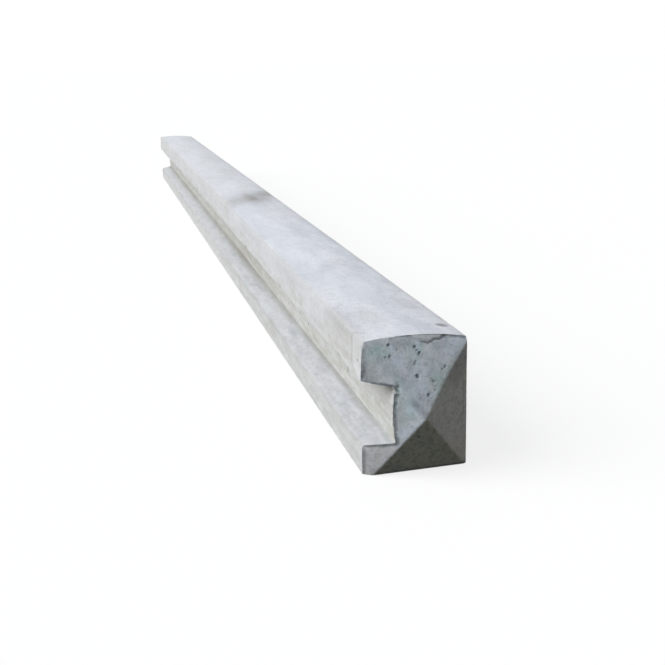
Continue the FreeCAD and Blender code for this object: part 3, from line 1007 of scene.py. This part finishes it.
def cast_skin_concrete():
    """Portland concrete as the mould and the trowel leave it.

    The trowel draws fine cement paste up, which dries to a pale, cool, cloudy film, and some of it is smeared
    over the edge above the slot. Steel mould sides leave a smooth face with blotches drawn out along the
    post and runs down it, creamier in the slot and cooler on the sill. Painted shade darkens the sill, faces
    and arrises that slant towards the key lamp and the arris over the lip, and the edge over the plain side
    is darker; painted light brightens the slot's floor and the lip's lower arris. Dirt and painted shade
    darken holes, knocks and the slot's inner corner.
    """
    patterns = {
        "clouds": (ALONG, 55.0, 4.0, 0.42, 0.6),
        "blotches": (ALONG, 18.0, 4.0, 0.42, 0.6),
        "runs": (DOWN, 18.0, 2.0, 0.48, 0.68),
        "smears": (ALONG, 50.0, 3.0, 0.42, 0.6),
        "smudges": (EVEN, 16.0, 4.0, 0.5, 0.68),
        "mottle": (DRAWN, 8.0, 3.0, 0.42, 0.6),
        "grit": (EVEN, 6.5, 3.0, 0.5, 0.66),
        "specks": (EVEN, 3.0, 2.0, 0.56, 0.7),
        "grains": (EVEN, 1.8, 2.0, 0.2, 0.8),
    }
    layers = (
        ("clouds", 0.8, "#CACDD2"),
        ("blotches", 0.6, "#D2D4D7"),
        ("runs", 0.25, "#B5B5AE"),
        ("slot", 1.0, "#B6B7B1"),
        ("slot clouds", 0.7, "#BEC0BD"),
        ("slot runs", 0.2, "#AEAFA8"),
        ("slot grit", 0.25, "#96948E"),
        # The sill's cool tone, darkened as painted shade of the upper lip
        ("sill", 1.0, "#AEB1B8"),
        ("sill clouds", 0.8, "#BCBFC7"),
        ("sill blotches", 0.7, "#CACCD1"),
        ("sill grit", 0.2, "#93959A"),
        ("mottle", 0.4, "#DCDFE3"),
        ("grit", 0.3, "#ABABA6"),
        ("trowelled", 1.0, "#CCD0DA"),
        ("trowelled clouds", 0.5, "#DFE2EA"),
        ("trowelled smears", 0.8, "#E7E9EF"),
        ("trowelled smudges", 0.3, "#B3B8C2"),
        ("trowelled grit", 0.22, "#B0B4BE"),
        ("trowelled mottle", 0.15, "#EBEDF2"),
        # Pale paste, with painted light on the slot's floor and a painted highlight on the lip's lower arris
        ("pale_and_painted_light", 0.65, "#E3E7ED"),
        ("specks", 0.4, "#A0A2A6"),
        # Painted shade on faces and arrises that slant towards the key lamp, with the trowel's dull clouds
        ("shade_and_dull", 0.42, "#8F908E"),
        # Stains, with painted shade on the arris over the lip and, with dirt, along the slot's inner corner
        ("stain_and_shade", 0.75, "#767368"),
        # Dirt and painted shade in holes, knocks and the broken slot edge, and the scuff
        ("dirt_and_shade", 0.8, "#484A50"),
    )
    return concrete("trowelled_and_moulded_concrete", "#C3C5C6", patterns, layers, grain=0.35)


def cast_end_concrete():
    """Portland concrete cast against the mould's end plate, denser than the sides, and darker where painted
    shade lies on it.

    Slag in the cement leaves blue-green patches in a lilac-grey paste. The facets that face away from the
    light carry painted shade, darker and olive, and warmer on the plain facet; painted highlights run along
    the lit ridges. Small air holes, the crack and crumbled edges are dark with dirt and painted shade.
    """
    patterns = {
        "patches": (EVEN, 24.0, 3.0, 0.42, 0.58),
        "blotches": (EVEN, 9.0, 4.0, 0.42, 0.6),
        "clots": (EVEN, 5.0, 4.0, 0.5, 0.64),
        "specks": (EVEN, 2.6, 3.0, 0.52, 0.68),
        "grains": (EVEN, 1.8, 3.0, 0.2, 0.8),
    }
    layers = (
        ("patches", 0.7, "#BFC6CF"),
        ("slag", 0.75, "#A4C3C5"),
        ("blotches", 0.5, "#DAE0EC"),
        ("clots", 0.5, "#95A3AA"),
        ("specks", 0.4, "#8E999E"),
        # Pale patches, and painted highlights along the lit ridges
        ("pale_and_painted_light", 0.6, "#D0DFF4"),
        # Painted shade: darker, olive tones on the facets that face away from the key lamp
        ("damp", 0.67, "#7F8679"),
        ("damp blotches", 0.36, "#A3A599"),
        ("damp clots", 0.4, "#565A4F"),
        ("damp specks", 0.15, "#4C5047"),
        # Stains, and a warm painted shade on the plain facet
        ("stain_and_shade", 0.5, "#B5A79C"),
        # Dirt and painted shade in holes, the crack and chips
        ("dirt_and_shade", 0.85, "#384246"),
    )
    return concrete("end_plate_cast_concrete", "#C4CCD9", patterns, layers, grain=0.35)


# Studio: a wide key lamp over the slotted side, a low card that lights the slot, a weak fill and a pale floor
KEY_DIRECTION = Vector((-0.77, 0.07, 0.70))
KEY_LEVEL = 0.97
KEY_WIDTH = math.radians(50)
CARD_DIRECTION = Vector((-0.95, 0.25, 0.12))
CARD_LEVEL = 0.2
CARD_WIDTH = math.radians(40)
FILL_HORIZON = (0.555, 0.475, 0.34, 1.0)
FILL_ZENITH = (0.27, 0.30, 0.34, 1.0)
FILL_RISE = (0.05, 0.7)  # heights between which one fill turns into the other
FLOOR_SIZE = 60.0
FLOOR_DROP = 0.0005
FLOOR_BOUNCE = (0.035, 0.033, 0.028, 1.0)
FLOOR_SHOWN = (0.97, 0.97, 0.97, 1.0)
SHADOW_SHARE = 0.2
WHITE = (1.0, 1.0, 1.0, 1.0)


def seen_directly(tree):
    """1 for rays that show the surroundings as they look, and 0 for those that only carry light."""
    path = add(tree, "ShaderNodeLightPath").outputs
    seen = path["Is Camera Ray"]
    for ray in ("Is Glossy Ray", "Is Transmission Ray"):
        seen = add(tree, "ShaderNodeMath", {0: seen, 1: path[ray]}, operation="MAXIMUM").outputs[0]
    return seen


def light_studio():
    """The lamps and the fill, at a level where a colour on an upward face shows about as it is written."""
    lamps = (
        ("key", KEY_DIRECTION, KEY_LEVEL, KEY_WIDTH),
        ("card", CARD_DIRECTION, CARD_LEVEL, CARD_WIDTH),
    )
    for name, direction, level, width in lamps:
        light = bpy.data.lights.new(name, "SUN")
        light.energy = level * math.pi
        light.angle = width
        lamp = new_object(name, light)
        lamp.rotation_mode = "QUATERNION"
        lamp.rotation_quaternion = direction.to_track_quat("Z", "Y")

    world = bpy.data.worlds.new("studio")
    world.use_nodes = True
    tree = world.node_tree
    tree.nodes.clear()
    direction = add(tree, "ShaderNodeTexCoord").outputs["Generated"]
    height = add(tree, "ShaderNodeSeparateXYZ", {"Vector": direction}).outputs["Z"]
    sockets = {"Value": height, "From Min": FILL_RISE[0], "From Max": FILL_RISE[1]}
    share = add(tree, "ShaderNodeMapRange", sockets).outputs[0]
    sockets = {MIX_SHARE: share, MIX_A: FILL_HORIZON, MIX_B: FILL_ZENITH}
    fill = add(tree, "ShaderNodeMix", sockets, data_type="RGBA")
    light = add(tree, "ShaderNodeBackground", {"Color": fill.outputs[MIXED]})
    white = add(tree, "ShaderNodeBackground", {"Color": WHITE})
    shaders = {0: seen_directly(tree), 1: light.outputs[0], 2: white.outputs[0]}
    mixed = add(tree, "ShaderNodeMixShader", shaders)
    add(tree, "ShaderNodeOutputWorld", {"Surface": mixed.outputs[0]})
    bpy.context.scene.world = world


def lay_floor():
    """A pale floor that shows white, keeps a light shadow and throws little light back."""
    material, tree = new_material("pale_floor")
    dull = add(tree, "ShaderNodeBsdfDiffuse", {"Color": FLOOR_BOUNCE})
    shaded = add(tree, "ShaderNodeBsdfDiffuse", {"Color": FLOOR_SHOWN})
    white = add(tree, "ShaderNodeEmission", {"Color": WHITE})
    shown = add(tree, "ShaderNodeMixShader", {0: SHADOW_SHARE, 1: white.outputs[0], 2: shaded.outputs[0]})
    shaders = {0: seen_directly(tree), 1: dull.outputs[0], 2: shown.outputs[0]}
    mixed = add(tree, "ShaderNodeMixShader", shaders)
    add(tree, "ShaderNodeOutputMaterial", {"Surface": mixed.outputs[0]})
    half = FLOOR_SIZE / 2
    mesh = bpy.data.meshes.new("floor")
    corners = [(x, y, -FLOOR_DROP) for x, y in ((-half, -half), (half, -half), (half, half), (-half, half))]
    mesh.from_pydata(corners, [], [(0, 1, 2, 3)])
    mesh.materials.append(material)
    floor = new_object("floor", mesh)


# Camera: where the photograph was taken from
CAMERA_PLACE = (-262.8, -1948.9, 374.1)
CAMERA_PITCH, CAMERA_YAW, CAMERA_ROLL = 16.32, 13.55, -1.63
CAMERA_LENS = 51.97
CAMERA_SENSOR = 36.0


def set_camera():
    """The camera at the photograph's place and angle."""
    data = bpy.data.cameras.new("camera")
    data.lens = CAMERA_LENS
    data.sensor_width = CAMERA_SENSOR
    camera = new_object("camera", data)
    aim = Euler((math.radians(90 - CAMERA_PITCH), 0.0, math.radians(-CAMERA_YAW))).to_matrix()
    roll = Matrix.Rotation(math.radians(CAMERA_ROLL), 3, "Z")
    camera.matrix_world = Matrix.Translation(Vector(CAMERA_PLACE) * MM) @ (aim @ roll).to_4x4()
    bpy.context.scene.camera = camera


post = PostMesh().build("concrete_post", cast_skin_concrete(), cast_end_concrete())
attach(post, "root")
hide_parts(NODE)
light_studio()
lay_floor()
set_camera()
bpy.context.scene.view_settings.view_transform = "Standard"
